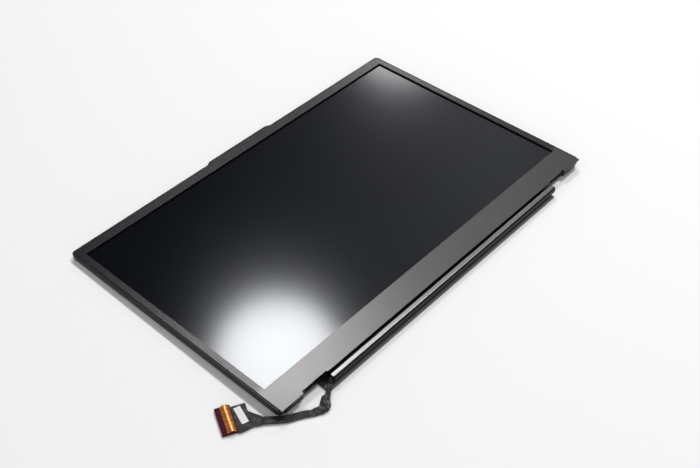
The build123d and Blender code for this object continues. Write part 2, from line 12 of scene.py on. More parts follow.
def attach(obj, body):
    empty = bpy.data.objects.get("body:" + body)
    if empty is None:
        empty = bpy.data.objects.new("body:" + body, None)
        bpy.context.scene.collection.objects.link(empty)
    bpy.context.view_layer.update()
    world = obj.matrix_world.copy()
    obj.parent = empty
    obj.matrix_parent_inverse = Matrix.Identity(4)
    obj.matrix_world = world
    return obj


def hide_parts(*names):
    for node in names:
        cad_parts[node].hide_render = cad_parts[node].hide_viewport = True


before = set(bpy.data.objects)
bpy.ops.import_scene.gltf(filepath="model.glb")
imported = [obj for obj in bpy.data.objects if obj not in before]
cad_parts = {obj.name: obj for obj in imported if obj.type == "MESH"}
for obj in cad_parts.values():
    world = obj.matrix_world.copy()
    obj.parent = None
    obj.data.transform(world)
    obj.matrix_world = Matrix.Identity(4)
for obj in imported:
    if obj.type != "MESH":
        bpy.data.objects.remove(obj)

LOG = logging.getLogger("screen_panel")
BODY = "root"
MM = 0.001

Colour = tuple[float, float, float]
Point = tuple[float, float, float]
Span = tuple[float, float]
Number = "float | Socket"


class Socket:
    """A shader value that takes Python's arithmetic, each operation adding one Math node."""

    def __init__(self, shader: "Shader", source: bpy.types.NodeSocket) -> None:
        """Wrap a node's output.

        Args:
            shader: The shader that the output's node belongs to.
            source: The output itself.
        """
        self.shader = shader
        self.source = source

    def _math(self, operation: str, first: Number, second: Number) -> "Socket":
        """Return one Math node's result for two values."""
        return self.shader.node("ShaderNodeMath", {"operation": operation}, {0: first, 1: second})

    def __add__(self, other: Number) -> "Socket":
        """Return self + other."""
        return self._math("ADD", self, other)

    def __radd__(self, other: Number) -> "Socket":
        """Return other + self."""
        return self._math("ADD", other, self)

    def __sub__(self, other: Number) -> "Socket":
        """Return self - other."""
        return self._math("SUBTRACT", self, other)

    def __rsub__(self, other: Number) -> "Socket":
        """Return other - self."""
        return self._math("SUBTRACT", other, self)

    def __mul__(self, other: Number) -> "Socket":
        """Return self * other."""
        return self._math("MULTIPLY", self, other)

    def __rmul__(self, other: Number) -> "Socket":
        """Return other * self."""
        return self._math("MULTIPLY", other, self)

    def wave(self) -> "Socket":
        """Return the sine of self."""
        return self._math("SINE", self, 0.0)

    def spread(self, low: float, high: float) -> "Socket":
        """Return a smooth step from 0 at low to 1 at high."""
        settings = {"interpolation_type": "SMOOTHSTEP"}
        return self.shader.node("ShaderNodeMapRange", settings, {0: self, 1: low, 2: high})


class Shader:
    """The node tree of a material or of the world, built node by node."""

    def __init__(self, owner: bpy.types.Material | bpy.types.World) -> None:
        """Start with an empty tree.

        Args:
            owner: The material or world that the tree belongs to.
        """
        owner.use_nodes = True
        self.owner = owner
        self.tree = owner.node_tree
        self.tree.nodes.clear()

    def node(
        self,
        kind: str,
        settings: dict[str, object] | None = None,
        inputs: dict[int | str, object] | None = None,
        output: int | str = 0,
    ) -> Socket | None:
        """Add a node.

        Args:
            kind: The node's type name.
            settings: The node's own properties, which are set first.
            inputs: A value or a Socket for each named or numbered input.
            output: The output that is wanted.

        Returns:
            The wanted output, wrapped, or None where the node has no outputs.
        """
        made = self.tree.nodes.new(kind)
        for key, value in (settings or {}).items():
            setattr(made, key, value)
        for key, value in (inputs or {}).items():
            if isinstance(value, Socket):
                self.tree.links.new(value.source, made.inputs[key])
            else:
                made.inputs[key].default_value = value
        return Socket(self, made.outputs[output]) if made.outputs else None

    def place(self) -> Socket:
        """Return the surface point's Object coordinates."""
        return self.node("ShaderNodeTexCoord", output="Object")

    def along(self, axis: str) -> Socket:
        """Return one component of the Object coordinates, in metres."""
        return self.node("ShaderNodeSeparateXYZ", inputs={0: self.place()}, output=axis)

    def away(self, point: Point) -> Socket:
        """Return the distance from a point in Object coordinates, in metres."""
        inputs = {0: self.place(), 1: point}
        return self.node("ShaderNodeVectorMath", {"operation": "DISTANCE"}, inputs, output="Value")

    def speckle(self, size: float, detail: float = 2.0, seed: float = 0.0) -> Socket:
        """Return noise around one half.

        Args:
            size: The size of its lumps, in metres.
            detail: How many finer layers it has.
            seed: Its place along the fourth dimension.

        Returns:
            The noise value.
        """
        settings = {"noise_dimensions": "4D"}
        inputs = {"Vector": self.place(), "W": seed, "Scale": 1.0 / size, "Detail": detail}
        return self.node("ShaderNodeTexNoise", settings, inputs)

    @staticmethod
    def vary(middle: float, *parts: tuple[Socket, float]) -> Socket:
        """Return a value that noise moves evenly about its middle.

        Args:
            middle: The value where each noise is one half.
            *parts: Each noise, with the width of its swing.

        Returns:
            The varied value.
        """
        total = middle - sum(width for _, width in parts) / 2
        for value, width in parts:
            total = total + value * width
        return total

    def blend(self, factor: Number, first: Colour | Socket, second: Colour | Socket) -> Socket:
        """Return a colour between two colours."""
        settings = {"data_type": "RGBA"}
        inputs = {0: factor, 6: self._opaque(first), 7: self._opaque(second)}
        return self.node("ShaderNodeMix", settings, inputs, output=2)

    def shades(self, factor: Number, colour: Colour, contrast: float) -> Socket:
        """Return a colour between a darker and a lighter shade of one colour."""
        return self.blend(factor, scaled(colour, 1 - contrast), scaled(colour, 1 + contrast))

    @staticmethod
    def _opaque(colour: Colour | Socket) -> tuple[float, ...] | Socket:
        """Return a colour with full alpha, or the Socket that was given."""
        return colour if isinstance(colour, Socket) else (*colour, 1.0)

    def bump(self, height: Socket, depth: float, strength: float) -> Socket:
        """Return a normal that is bent by a height."""
        inputs = {"Strength": strength, "Distance": depth, "Height": height}
        return self.node("ShaderNodeBump", inputs=inputs)

    def finish(self, **inputs: object) -> bpy.types.Material:
        """Close the tree with one surface shader.

        Args:
            **inputs: Its inputs, by name with underscores for spaces.

        Returns:
            The finished material.
        """
        named = {key.replace("_", " "): value for key, value in inputs.items()}
        for key in ("Base Color", "Emission Color", "Specular Tint"):
            if key in named:
                named[key] = self._opaque(named[key])
        surface = self.node("ShaderNodeBsdfPrincipled", inputs=named)
        self.node("ShaderNodeOutputMaterial", inputs={"Surface": surface})
        return self.owner


def scaled(colour: Colour, factor: float) -> Colour:
    """Return a colour made lighter or darker by a factor."""
    return tuple(channel * factor for channel in colour)


class BrushLine(Enum):
    """The direction that a metal sheet's brush lines run in."""

    ACROSS = (0.01, 1.0, 1.0)
    UP = (1.0, 0.01, 1.0)


class Finish(ABC):
    """A material recipe that any piece can take."""

    def material(self, name: str) -> bpy.types.Material:
        """Return the finish as a material of that name."""
        return self.paint(Shader(bpy.data.materials.new(name)))

    @abstractmethod
    def paint(self, shader: Shader) -> bpy.types.Material:
        """Lay the finish's nodes and return the material."""


@dataclass(frozen=True)
class MouldedPlastic(Finish):
    """Injection-moulded plastic with a grain, which may be polished on its hinge side, and whose
    hinge-side lip may be lightened with painted light.
    """

    colour: Colour
    roughness: float
    grain: float = 0.35 * MM
    depth: float = 0.03 * MM
    relief: float = 0.35
    mottle: float = 0.12
    cloud_ratio: float = 22.0
    cloud_share: float = 0.4
    fine_scatter: float = 0.06
    cloud_scatter: float = 0.04
    gloss: float = 0.5
    tint: Colour = (1.0, 1.0, 1.0)
    polish: float = 0.0
    patchy: float = 0.7
    polish_roughness: float = 0.328
    polish_edge: float = -92.5 * MM
    polish_fade: float = 7 * MM
    # Painted light: a pale colour laid on the lip along the hinge side, beyond an edge across the lid.
    painted_light: Colour | None = None
    painted_light_edge: float = -118.5 * MM
    painted_light_fade: float = 1 * MM

    def paint(self, shader: Shader) -> bpy.types.Material:
        """Lay the finish's nodes and return the material."""
        fine = shader.speckle(self.grain)
        cloud = shader.speckle(self.cloud_ratio * self.grain, seed=3.0)
        shade = fine * (1 - self.cloud_share) + cloud * self.cloud_share
        tone = shader.shades(shade, self.colour, self.mottle)
        # painted light: the hinge-side lip is blended towards a pale colour to stand in for the light it
        # catches
        if self.painted_light:
            tone = shader.blend(self._below(shader, self.painted_light_edge, self.painted_light_fade), tone, self.painted_light)
        rubbed = shader.vary(self.polish, (fine, self.polish * self.patchy))
        return shader.finish(
            Base_Color=tone,
            Roughness=shader.vary(self.roughness, (fine, self.fine_scatter), (cloud, self.cloud_scatter)),
            Specular_IOR_Level=self.gloss,
            Specular_Tint=self.tint,
            Coat_Weight=self._below(shader, self.polish_edge, self.polish_fade) * rubbed,
            Coat_Roughness=self.polish_roughness,
            Normal=shader.bump(fine, self.depth, self.relief),
        )

    @staticmethod
    def _below(shader: Shader, edge: float, fade: float) -> Socket:
        """Return 1 on the hinge side of a line across the lid, fading to 0 beyond it."""
        return 1 - shader.along("Y").spread(edge, edge + fade)


@dataclass(frozen=True)
class HighlitTrim(Finish):
    """Black trim whose flat ridge alone is made metallic and pale, a painted highlight that gives a bright
    band where the lamps reflect.
    """

    colour: Colour
    highlight_ridge: Colour
    roughness: float
    gloss: float
    ridge_foot: float = 8.38 * MM
    ridge_top: float = 8.54 * MM
    streak: float = 0.6 * MM
    mottle: float = 0.1
    scatter: float = 0.04
    depth: float = 0.004 * MM
    relief: float = 0.35

    def paint(self, shader: Shader) -> bpy.types.Material:
        """Lay the finish's nodes and return the material."""
        streak = shader.speckle(self.streak, seed=8.0)
        # painted highlight: only the flat top is made metallic, so it alone shows the lamps' highlight
        # band
        rubbed = shader.along("Z").spread(self.ridge_foot, self.ridge_top)
        return shader.finish(
            Base_Color=shader.blend(rubbed, shader.shades(streak, self.colour, self.mottle), self.highlight_ridge),
            Metallic=rubbed,
            Roughness=shader.vary(self.roughness, (streak, self.scatter)),
            Specular_IOR_Level=self.gloss,
            Normal=shader.bump(streak, self.depth, self.relief),
        )


@dataclass(frozen=True)
class ScreenPolariser(Finish):
    """The matt film on the panel's glass, near black while the panel is off."""

    colour: Colour
    roughness: float
    gloss: float
    tint: Colour
    sparkle: float = 0.12 * MM
    cloud: float = 40 * MM
    mottle: float = 0.15
    fine_scatter: float = 0.008
    cloud_scatter: float = 0.004
    depth: float = 0.001 * MM
    relief: float = 0.1

    def paint(self, shader: Shader) -> bpy.types.Material:
        """Lay the finish's nodes and return the material."""
        fine = shader.speckle(self.sparkle)
        cloud = shader.speckle(self.cloud, seed=5.0)
        return shader.finish(
            Base_Color=shader.shades(cloud, self.colour, self.mottle),
            Roughness=shader.vary(self.roughness, (fine, self.fine_scatter), (cloud, self.cloud_scatter)),
            Specular_IOR_Level=self.gloss,
            Specular_Tint=self.tint,
            Normal=shader.bump(fine, self.depth, self.relief),
        )


@dataclass(frozen=True)
class SheetMetal(Finish):
    """Bare or plated metal with brush lines and faint stains."""

    colour: Colour
    roughness: float
    brush: BrushLine = BrushLine.ACROSS
    line: float = 0.12 * MM
    line_detail: float = 2.0
    line_scatter: float = 0.1
    stain: float = 6 * MM
    stain_share: float = 0.5
    stain_shade: float = 0.82
    stain_scatter: float = 0.06
    depth: float = 0.01 * MM
    relief: float = 0.2

    def paint(self, shader: Shader) -> bpy.types.Material:
        """Lay the finish's nodes and return the material."""
        inputs = {"Vector": shader.place(), "Scale": self.brush.value}
        stretched = shader.node("ShaderNodeMapping", {"vector_type": "POINT"}, inputs)
        inputs = {"Vector": stretched, "Scale": 1.0 / self.line, "Detail": self.line_detail}
        lines = shader.node("ShaderNodeTexNoise", inputs=inputs)
        stain = shader.speckle(self.stain, seed=2.0)
        shade = lines * (1 - self.stain_share) + stain * self.stain_share
        return shader.finish(
            Base_Color=shader.blend(shade, scaled(self.colour, self.stain_shade), self.colour),
            Metallic=1.0,
            Roughness=shader.vary(self.roughness, (lines, self.line_scatter), (stain, self.stain_scatter)),
            Normal=shader.bump(lines, self.depth, self.relief),
        )


@dataclass(frozen=True)
class CircuitLaminate(Finish):
    """Solder-masked laminate with a pattern of traces under the mask."""

    mask: Colour
    trace: Colour
    pitch: float = 0.9 * MM
    cell_pitches: int = 6
    cell_rings: int = 3
    jitter: float = 0.6
    track_edge: Span = (0.2, 0.5)
    track_share: float = 0.7
    fleck: float = 0.3 * MM
    fleck_share: float = 0.3
    fleck_shade: float = 0.6
    roughness: float = 0.36
    scatter: float = 0.1
    varnish: float = 0.3
    depth: float = 0.02 * MM
    relief: float = 0.4

    def paint(self, shader: Shader) -> bpy.types.Material:
        """Lay the finish's nodes and return the material."""
        scale = 1.0 / (self.cell_pitches * self.pitch)
        inputs = {"Vector": shader.place(), "Scale": scale, "Randomness": self.jitter}
        settings = {"distance": "CHEBYCHEV", "feature": "F1"}
        cells = shader.node("ShaderNodeTexVoronoi", settings, inputs)
        tracks = (cells * (2 * pi * self.cell_rings)).wave().spread(*self.track_edge)
        fleck = shader.speckle(self.fleck, seed=1.0)
        copper = shader.blend(tracks * self.track_share, self.mask, self.trace)
        return shader.finish(
            Base_Color=shader.blend(fleck * self.fleck_share, copper, scaled(self.mask, self.fleck_shade)),
            Roughness=self.roughness + fleck * self.scatter,
            Coat_Weight=self.varnish,
            Normal=shader.bump(tracks, self.depth, self.relief),
        )


@dataclass(frozen=True)
class ThinFilm(Finish):
    """Thin glossy plastic film with faint creases along it."""

    colour: Colour
    edge: Colour
    roughness: float = 0.16
    metal: float = 0.0
    coat: float = 0.6
    coat_roughness: float = 0.08
    crease: float = 2.5 * MM
    crease_edge: Span = (0.35, 0.75)
    dust: float = 0.25 * MM
    scatter: float = 0.08
    depth: float = 0.25 * MM
    relief: float = 0.3

    def paint(self, shader: Shader) -> bpy.types.Material:
        """Lay the finish's nodes and return the material."""
        folds = shader.speckle(self.crease, detail=3.0)
        dust = shader.speckle(self.dust, seed=4.0)
        return shader.finish(
            Base_Color=shader.blend(folds.spread(*self.crease_edge), self.colour, self.edge),
            Roughness=self.roughness + dust * self.scatter,
            Metallic=self.metal,
            Coat_Weight=self.coat,
            Coat_Roughness=self.coat_roughness,
            Normal=shader.bump(folds, self.depth, self.relief),
        )


@dataclass(frozen=True)
class ClothTape(Finish):
    """Woven adhesive tape wrapped round a cable, pale near the fold with wear and painted sheen, and
    darker away from it as painted shade.
    """

    colour: Colour
    # Pale colour of the patches, which are partly wear and partly painted sheen.
    painted_light: Colour
    roughness: float = 0.62
    gloss: float = 0.25
    thread: float = 0.45 * MM
    weave_share: float = 0.15
    weave_scatter: float = 0.08
    rub: float = 3.2 * MM
    rub_edge: Span = (0.44, 0.72)
    rub_polish: float = 0.14
    fold: Point = (-153.0 * MM, -126.5 * MM, 2.0 * MM)
    fold_edge: Span = (5 * MM, 15 * MM)
    fold_sheen_and_wear: float = 0.75
    flat_sheen_and_wear: float = 0.22
    depth: float = 0.06 * MM
    relief: float = 0.35

    def paint(self, shader: Shader) -> bpy.types.Material:
        """Lay the finish's nodes and return the material."""
        turn = 2 * pi / self.thread
        warp = (shader.along("X") * turn).wave()
        weft = (shader.along("Y") * turn).wave()
        weave = (warp * weft) * 0.5 + 0.5
        # wear and painted sheen: pale patches gather near the fold, and the tape stays darker elsewhere as
        # painted shade
        rub = shader.speckle(self.rub, detail=4.0, seed=6.0).spread(*self.rub_edge)
        flat = shader.away(self.fold).spread(*self.fold_edge)
        sheen_and_wear = self.fold_sheen_and_wear - flat * (self.fold_sheen_and_wear - self.flat_sheen_and_wear)
        return shader.finish(
            Base_Color=shader.blend(rub * sheen_and_wear + weave * self.weave_share, self.colour, self.painted_light),
            Roughness=self.roughness - rub * self.rub_polish + weave * self.weave_scatter,
            Specular_IOR_Level=self.gloss,
            Normal=shader.bump(weave, self.depth, self.relief),
        )


@dataclass(frozen=True)
class LabelPaper(Finish):
    """Coated white paper, a little soiled."""

    colour: Colour
    soil: Colour
    roughness: float = 0.5
    scatter: float = 0.15
    fibre: float = 0.2 * MM
    fibre_share: float = 0.1
    smudge: float = 2.2 * MM
    smudge_edge: Span = (0.5, 0.8)
    smudge_share: float = 0.5
    depth: float = 0.01 * MM
    relief: float = 0.25

    def paint(self, shader: Shader) -> bpy.types.Material:
        """Lay the finish's nodes and return the material."""
        fibre = shader.speckle(self.fibre)
        smudge = shader.speckle(self.smudge, detail=3.0, seed=9.0).spread(*self.smudge_edge)
        soiled = smudge * self.smudge_share + fibre * self.fibre_share
        return shader.finish(
            Base_Color=shader.blend(soiled, self.colour, self.soil),
            Roughness=self.roughness + fibre * self.scatter,
            Normal=shader.bump(fibre, self.depth, self.relief),
        )


@dataclass(frozen=True)
class Foam(Finish):
    """Closed-cell foam or soft rubber."""

    colour: Colour
    cell: float = 0.3 * MM
    pit_shade: float = 0.7
    wall_shade: float = 1.4
    roughness: float = 0.85
    scatter: float = 0.1
    depth: float = 0.05 * MM
    relief: float = 0.5

    def paint(self, shader: Shader) -> bpy.types.Material:
        """Lay the finish's nodes and return the material."""
        inputs = {"Vector": shader.place(), "Scale": 1.0 / self.cell}
        cells = shader.node("ShaderNodeTexVoronoi", inputs=inputs)
        # painted shade in the cell pits and painted light on the cell walls
        pit = scaled(self.colour, self.pit_shade)
        wall = scaled(self.colour, self.wall_shade)
        return shader.finish(
            Base_Color=shader.blend(cells, pit, wall),
            Roughness=self.roughness - cells * self.scatter,
            Normal=shader.bump(cells, self.depth, self.relief),
        )


@dataclass(frozen=True)
class Glass(Finish):
    """Clear or tinted hard glass and acrylic."""

    colour: Colour
    roughness: float
    clearness: float
    film: float = 1.5 * MM
    film_shade: float = 0.9
    scatter: float = 0.04
    index: float = 1.5
    coat: float = 0.4

    def paint(self, shader: Shader) -> bpy.types.Material:
        """Lay the finish's nodes and return the material."""
        film = shader.speckle(self.film, seed=7.0)
        return shader.finish(
            Base_Color=shader.blend(film, scaled(self.colour, self.film_shade), self.colour),
            Roughness=self.roughness + film * self.scatter,
            Transmission_Weight=self.clearness,
            IOR=self.index,
            Coat_Weight=self.coat,
        )


BEZEL_FINISH = MouldedPlastic(
    (0.0068, 0.0076, 0.0105),
    0.265,
    grain=0.9 * MM,
    depth=0.11 * MM,
    gloss=0.255,
    tint=(1.0, 0.95, 0.94),
    polish=0.58,
)
COVER_FINISH = MouldedPlastic(
    (0.011, 0.0112, 0.012),
    0.36,
    grain=0.5 * MM,
    gloss=0.16,
    # painted light: pale colour on the hinge-side lip
    painted_light=(0.1, 0.1, 0.1),
)
# The bar's flat top carries a painted highlight.
BAR_FINISH = HighlitTrim((0.007, 0.007, 0.0075), (0.112, 0.112, 0.115), 0.3, gloss=0.14)
BLACK_NYLON = MouldedPlastic((0.02, 0.02, 0.021), 0.42)
IVORY_NYLON = MouldedPlastic((0.62, 0.57, 0.46), 0.45)
WHITE_MOULDING = MouldedPlastic((0.78, 0.78, 0.76), 0.4)
PLUG_FINISH = MouldedPlastic((0.055, 0.004, 0.013), 0.4, grain=0.5 * MM, gloss=0.03)
WIRE_JACKET = MouldedPlastic((0.01, 0.01, 0.0105), 0.5, grain=0.6 * MM, gloss=0.12)
DARK_WINDOW = MouldedPlastic((0.011, 0.011, 0.012), 0.265, grain=0.9 * MM, mottle=0.05, gloss=0.3)
SMOKED_PIPE = MouldedPlastic((0.012, 0.012, 0.013), 0.26, gloss=0.22)
SCREEN_FINISH = ScreenPolariser((0.0022, 0.0028, 0.0048), 0.1123, 0.207, tint=(0.95, 0.975, 1.01))
TRAY_STEEL = SheetMetal((0.6, 0.61, 0.63), 0.34)
CAN_STEEL = SheetMetal((0.7, 0.69, 0.66), 0.28, BrushLine.UP)
BRASS = SheetMetal((0.78, 0.56, 0.26), 0.3)
NICKEL = SheetMetal((0.72, 0.71, 0.68), 0.18)
GREEN_BOARD = CircuitLaminate((0.012, 0.085, 0.04), (0.05, 0.2, 0.08))
AMBER_FILM = ThinFilm((0.62, 0.2, 0.02), (0.8, 0.36, 0.06))
PLUG_FILM = ThinFilm((0.4, 0.125, 0.02), (0.62, 0.28, 0.07), roughness=0.3, metal=0.5, coat=0.1)
WHITE_FILM = ThinFilm((0.86, 0.86, 0.87), (0.8, 0.81, 0.83), roughness=0.3)
BLACK_SHEET = ThinFilm((0.02, 0.02, 0.021), (0.035, 0.035, 0.036), roughness=0.4)
LIGHT_TAPE = ThinFilm((0.85, 0.72, 0.3), (0.9, 0.84, 0.6), roughness=0.3)
CABLE_TAPE = ClothTape((0.011, 0.011, 0.011), (0.17, 0.162, 0.142))
BLANK_LABEL = LabelPaper((0.74, 0.725, 0.715), (0.6, 0.58, 0.565))
GREY_TAPE = Foam((0.1, 0.1, 0.105), cell=0.5 * MM)
BLACK_FOAM = Foam((0.02, 0.02, 0.02))
CLEAR_SHEET = Glass((0.9, 0.95, 0.95), 0.08, clearness=0.9)
COATED_LENS = Glass((0.012, 0.01, 0.03), 0.05, clearness=0.0)


def dress(node: str, finish: Finish) -> None:
    """Give a CAD node its finish.

    Args:
        node: The node's name.
        finish: The finish that every face of it gets.
    """
    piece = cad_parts[node]
    material = finish.material(node)
    piece.data.materials.clear()
    piece.data.materials.append(material)
    LOG.info("%s dressed with %s", node, type(finish).__name__)


@dataclass
class Shell:
    """The lid's outer pieces: cover, bezel, trim bar and screw inserts."""

    bezel: Finish = BEZEL_FINISH
    cover: Finish = COVER_FINISH
    bar: Finish = BAR_FINISH
    insert: Finish = BRASS

    def dress(self) -> None:
        """Finish the shell's nodes."""
        dress("back_cover", self.cover)
        dress("bezel", self.bezel)
        dress("hinge_bar", self.bar)
        dress("hinge_inserts", self.insert)


@dataclass
class DisplayModule:
    """The panel: glass, backlight stack and driver board."""

    screen: Finish = SCREEN_FINISH
    tray: Finish = TRAY_STEEL
    board: Finish = GREEN_BOARD

    def dress(self) -> None:
        """Finish the panel's nodes."""
        dress("lcd_cell", self.screen)
        dress("panel_tray", self.tray)
        dress("panel_frame", WHITE_MOULDING)
        dress("panel_tapes", GREY_TAPE)
        dress("led_strip", LIGHT_TAPE)
        dress("reflector_sheet", WHITE_FILM)
        dress("light_guide", CLEAR_SHEET)
        dress("diffuser_films", WHITE_FILM)
        dress("board_shield", BLACK_SHEET)
        dress("driver_board", self.board)
        dress("driver_tabs", AMBER_FILM)
        dress("panel_socket", IVORY_NYLON)
        dress("panel_plug", BLACK_NYLON)
        dress("lid_magnet", NICKEL)


@dataclass
class CameraStrip:
    """The camera, microphones and light in the top border."""

    window: Finish = DARK_WINDOW
    board: Finish = GREEN_BOARD

    def dress(self) -> None:
        """Finish the strip's nodes."""
        dress("strip_pad", BLACK_FOAM)
        dress("camera_board", self.board)
        dress("camera_module", BLACK_NYLON)
        dress("camera_lens", COATED_LENS)
        dress("camera_window", self.window)
        dress("microphones", CAN_STEEL)
        dress("mic_gaskets", BLACK_FOAM)
        dress("camera_light", SMOKED_PIPE)
        dress("camera_socket", IVORY_NYLON)
        dress("camera_plug", BLACK_NYLON)


@dataclass
class HeldWiring:
    """The cable branches that the lid holds."""

    jacket: Finish = WIRE_JACKET

    def dress(self) -> None:
        """Finish the held wiring's nodes."""
        for node in ("panel_lead", "camera_wire", "cable_trunk"):
            dress(node, self.jacket)


@dataclass
class FreeCable:
    """The flat cable that comes out of the bar's open end and lies on the table.

    Each entry of steps is a point of its route, in millimetres from exit_point. Each entry of shape is a
    length of route, with the ribbon's reach to its inner and outer side and its thickness there, in
    millimetres.
    """

    exit_point: Vector = Vector((-134.2, -116.25, 5.1)) * MM
    steps: tuple[Point, ...] = (
        (-3.245, -2.255, -0.632),
        (-7.7, -5.35, -1.5),
        (-14.1, -8.55, -2.9),
        (-20.7, -11.05, -3.8),
        (-27.4, -8.55, -4.1),
        (-34.7, -3.55, -4.1),
        (-42.6, 0.35, -4.05),
        (-49.1, 6.15, -3.65),
        (-55.0, 11.95, -3.65),
    )
    points_per_step: int = 20
    width: float = 6.5 * MM
    shape: tuple[tuple[float, float, float, float], ...] = (
        (0.0, 1.9, 1.9, 2.4),
        (5.5, 1.8, 1.6, 2.2),
        (9.2, 1.9, 2.1, 2.0),
        (11.0, 3.7, 2.7, 2.1),
        (16.0, 3.1, 5.2, 2.3),
        (18.0, 2.8, 5.3, 2.2),
        (23.0, 2.5, 3.5, 1.9),
        (30.0, 2.9, 2.8, 1.7),
        (44.0, 3.25, 3.1, 1.7),
        (70.0, 3.25, 3.25, 1.7),
    )
    ring_points: int = 28
    ring_squareness: float = 0.55
    crumple: float = 0.3 * MM
    crumple_size: float = 4.2 * MM
    crumple_seed: int = 7
    crease_rise: float = 0.3
    crease_drop: float = 1.4
    sway_pitch: float = 1.3
    sway_share: float = 0.25
    fold_place: Vector = Vector((-151.5, -126.5, 2.0)) * MM
    fold_reach: float = 8.0 * MM
    fold_crumple: float = 2.3 * MM
    table_gap: float = 0.05 * MM
    line: list[Vector] = field(default_factory=list, init=False)
    length: float = field(default=0.0, init=False)

    def centreline(self) -> list[Vector]:
        """Return points of the smooth line that the cable follows."""
        curve = bpy.data.curves.new("cable_line", "CURVE")
        curve.dimensions = "3D"
        spline = curve.splines.new("NURBS")
        spline.points.add(len(self.steps) - 1)
        for point, step in zip(spline.points, self.steps):
            point.co = (*(self.exit_point + Vector(step) * MM), 1.0)
        spline.order_u = 3
        spline.use_endpoint_u = True
        spline.resolution_u = self.points_per_step
        holder = bpy.data.objects.new("cable_line", curve)
        line = bpy.data.meshes.new_from_object(holder)
        points = [vertex.co.copy() for vertex in line.vertices]
        bpy.data.objects.remove(holder)
        bpy.data.meshes.remove(line)
        return points

    def section(self, travelled: float) -> Point:
        """Return the ribbon's reach to its inner and outer side and its thickness.

        Args:
            travelled: The length of line before the section.

        Returns:
            The two reaches and the thickness, in metres.
        """
        for before, after in zip(self.shape, self.shape[1:]):
            if travelled <= after[0] * MM:
                break
        share = (travelled / MM - before[0]) / (after[0] - before[0])
        return tuple((low + (high - low) * share) * MM for low, high in zip(before[1:], after[1:]))

    def station(self, index: int) -> Matrix:
        """Return the placed and scaled frame of one cross-section.

        Args:
            index: The point of the line that the section stands at.

        Returns:
            A matrix that takes the unit section there.
        """
        before = self.line[max(index - 1, 0)]
        after = self.line[min(index + 1, len(self.line) - 1)]
        heading = (after - before).normalized()
        across = Vector((0, 0, 1)).cross(heading).normalized()
        up = heading.cross(across)
        inner, outer, thickness = self.section(self.length)
        turned = Matrix((across, heading, up)).transposed().to_4x4()
        middle = self.line[index] + across * ((outer - inner) / 2)
        stretch = Matrix.Diagonal((inner + outer, 1.0, thickness, 1.0))
        return Matrix.Translation(middle) @ turned @ stretch

    def build(self) -> bpy.types.Object:
        """Model the ribbon along its line.

        Returns:
            The ribbon's object.
        """
        mesh = bmesh.new()
        self.line = self.centreline()
        self._sweep(mesh)
        self._crumple(mesh)
        bmesh.ops.recalc_face_normals(mesh, faces=mesh.faces)
        ribbon = self._object("cable_ribbon", mesh)
        ribbon.data.materials.append(CABLE_TAPE.material("cable_ribbon"))
        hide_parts("display_cable")
        LOG.info("cable_ribbon built, %.1f mm long", self.length / MM)
        return ribbon

    def _sweep(self, mesh: bmesh.types.BMesh) -> None:
        """Extrude the ribbon's section from point to point of the line and close its ends."""
        ring = bmesh.ops.create_circle(mesh, segments=self.ring_points, radius=0.5)["verts"]
        bmesh.ops.rotate(mesh, verts=ring, matrix=Matrix.Rotation(pi / 2, 3, "X"))
        for vertex in ring:
            vertex.co.x = self._square(vertex.co.x)
            vertex.co.z = self._square(vertex.co.z)
        first = mesh.edges[:]
        edges = first
        current = Matrix.Identity(4)
        for index in range(len(self.line)):
            if index:
                self.length += (self.line[index] - self.line[index - 1]).length
                made = bmesh.ops.extrude_edge_only(mesh, edges=edges)["geom"]
                ring = [item for item in made if isinstance(item, bmesh.types.BMVert)]
                edges = [item for item in made if isinstance(item, bmesh.types.BMEdge)]
            target = self.station(index)
            bmesh.ops.transform(mesh, matrix=target @ current.inverted(), verts=ring)
            current = target
        for rim in (first, edges):
            bmesh.ops.contextual_create(mesh, geom=rim)

    def _square(self, value: float) -> float:
        """Return a circle's coordinate pushed out towards a rounded square."""
        return 0.5 * (abs(2 * value) ** self.ring_squareness) * (1 if value > 0 else -1)

    def _crumple(self, mesh: bmesh.types.BMesh) -> None:
        """Press creases into the ribbon's skin, deepest where it is folded."""
        noise.seed_set(self.crumple_seed)
        for vertex in mesh.verts:
            spot = vertex.co / self.crumple_size
            away = (vertex.co - self.fold_place).length / self.fold_reach
            depth = self.crumple + self.fold_crumple * exp(-away * away)
            crease = self.crease_rise - abs(noise.noise(spot)) * self.crease_drop
            vertex.co += noise.noise_vector(spot * self.sway_pitch) * (self.sway_share * depth)
            vertex.co.z = max(vertex.co.z + crease * depth, self.table_gap)

    @staticmethod
    def _object(name: str, mesh: bmesh.types.BMesh) -> bpy.types.Object:
        """Return a smooth-shaded object that rides on the part."""
        data = bpy.data.meshes.new(name)
        mesh.to_mesh(data)
        mesh.free()
        piece = bpy.data.objects.new(name, data)
        bpy.context.scene.collection.objects.link(piece)
        data.shade_smooth()
        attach(piece, BODY)
        return piece

    def dress(self, ribbon: bpy.types.Object) -> None:
        """Args:
            ribbon: The modelled ribbon, which is not used.
        """
        finishes = {
            "cable_head": CABLE_TAPE,
            "cable_label": BLANK_LABEL,
            "board_plug": PLUG_FINISH,
            "plug_film": PLUG_FILM,
        }
        for node, finish in finishes.items():
            dress(node, finish)


@dataclass
class Lamp:
    """One soft round studio lamp."""

    name: str
    aim: Point
    towards: Point
    size: float
    power: float
    distance: float = 3.5

    def build(self) -> bpy.types.Object:
        """Place the lamp so that it faces its aim.

        Returns:
            The lamp's object.
        """
        data = bpy.data.lights.new(self.name, "AREA")
        data.shape = "DISK"
        data.size = self.size
        data.energy = self.power
        lamp = bpy.data.objects.new(self.name, data)
        heading = Vector(self.towards).normalized()
        turn = heading.to_track_quat("Z", "Y").to_matrix().to_4x4()
        lamp.matrix_world = Matrix.Translation(Vector(self.aim) + heading * self.distance) @ turn
        bpy.context.scene.collection.objects.link(lamp)
        return lamp


